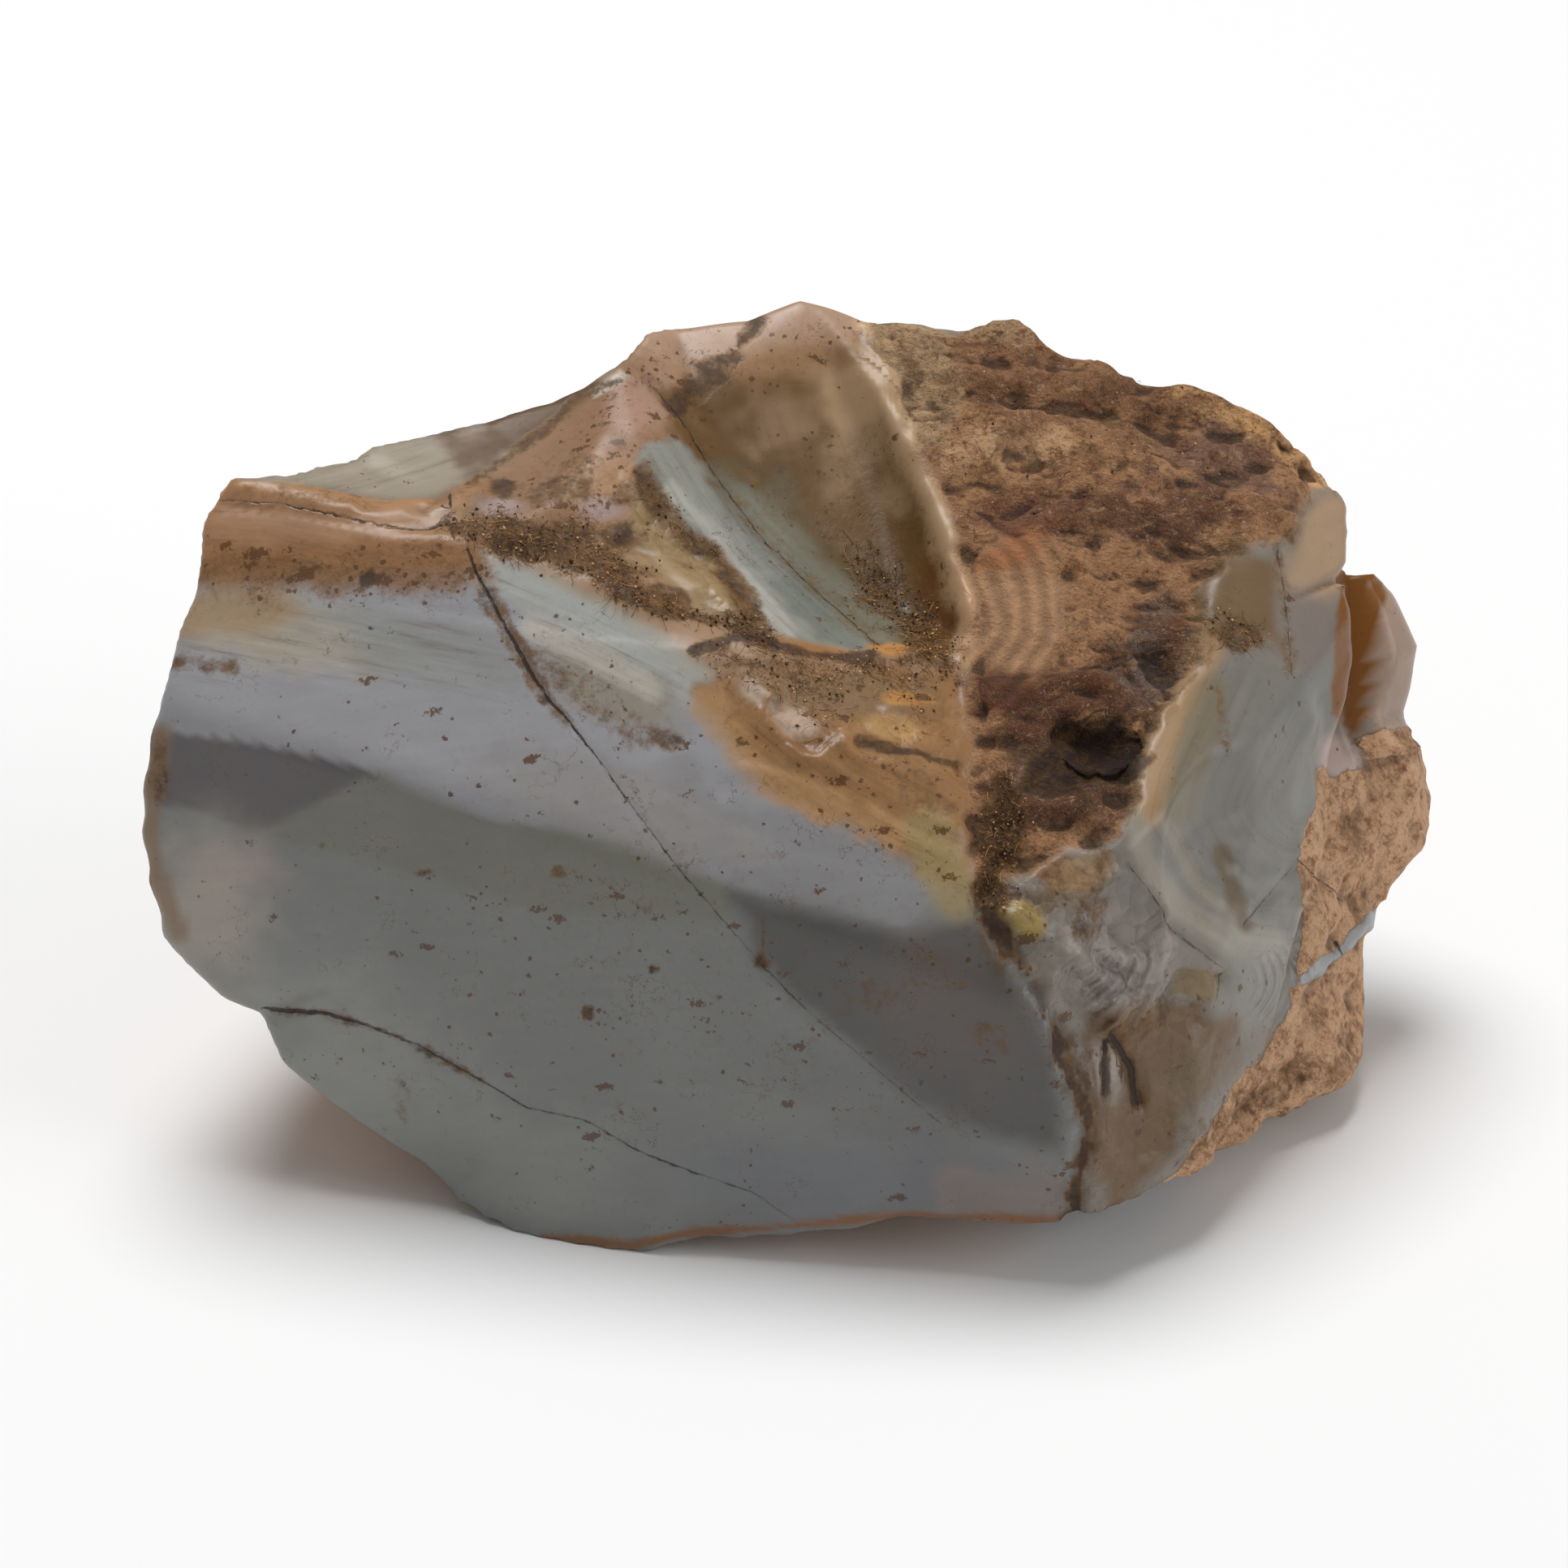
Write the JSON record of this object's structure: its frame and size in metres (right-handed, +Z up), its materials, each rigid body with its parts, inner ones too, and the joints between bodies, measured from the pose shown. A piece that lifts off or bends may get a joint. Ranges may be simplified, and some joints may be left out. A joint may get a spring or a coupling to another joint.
{
  "type": "rough opal",
  "caption": "Rough broken lump of pale blue-grey opal with a hollow in its top and brown matrix grown fast to it, lying on a flat of its underside.",
  "frame": {"origin": "middle of the bounding box, on the plane that the lump lies on", "axes": "+X to the right along the long way of the lump, +Y to the back, +Z up; the broad front faces -Y and leans back"},
  "size_m": [0.08, 0.0472, 0.0457],
  "materials": {
    "opal_and_matrix": "waxy blue-grey opal on broken faces, dull brown rough matrix and tan crust with soil in the hollows"
  },
  "bodies": {
    "root": {"rough_opal": "opal_and_matrix"}
  },
  "joints": []
}
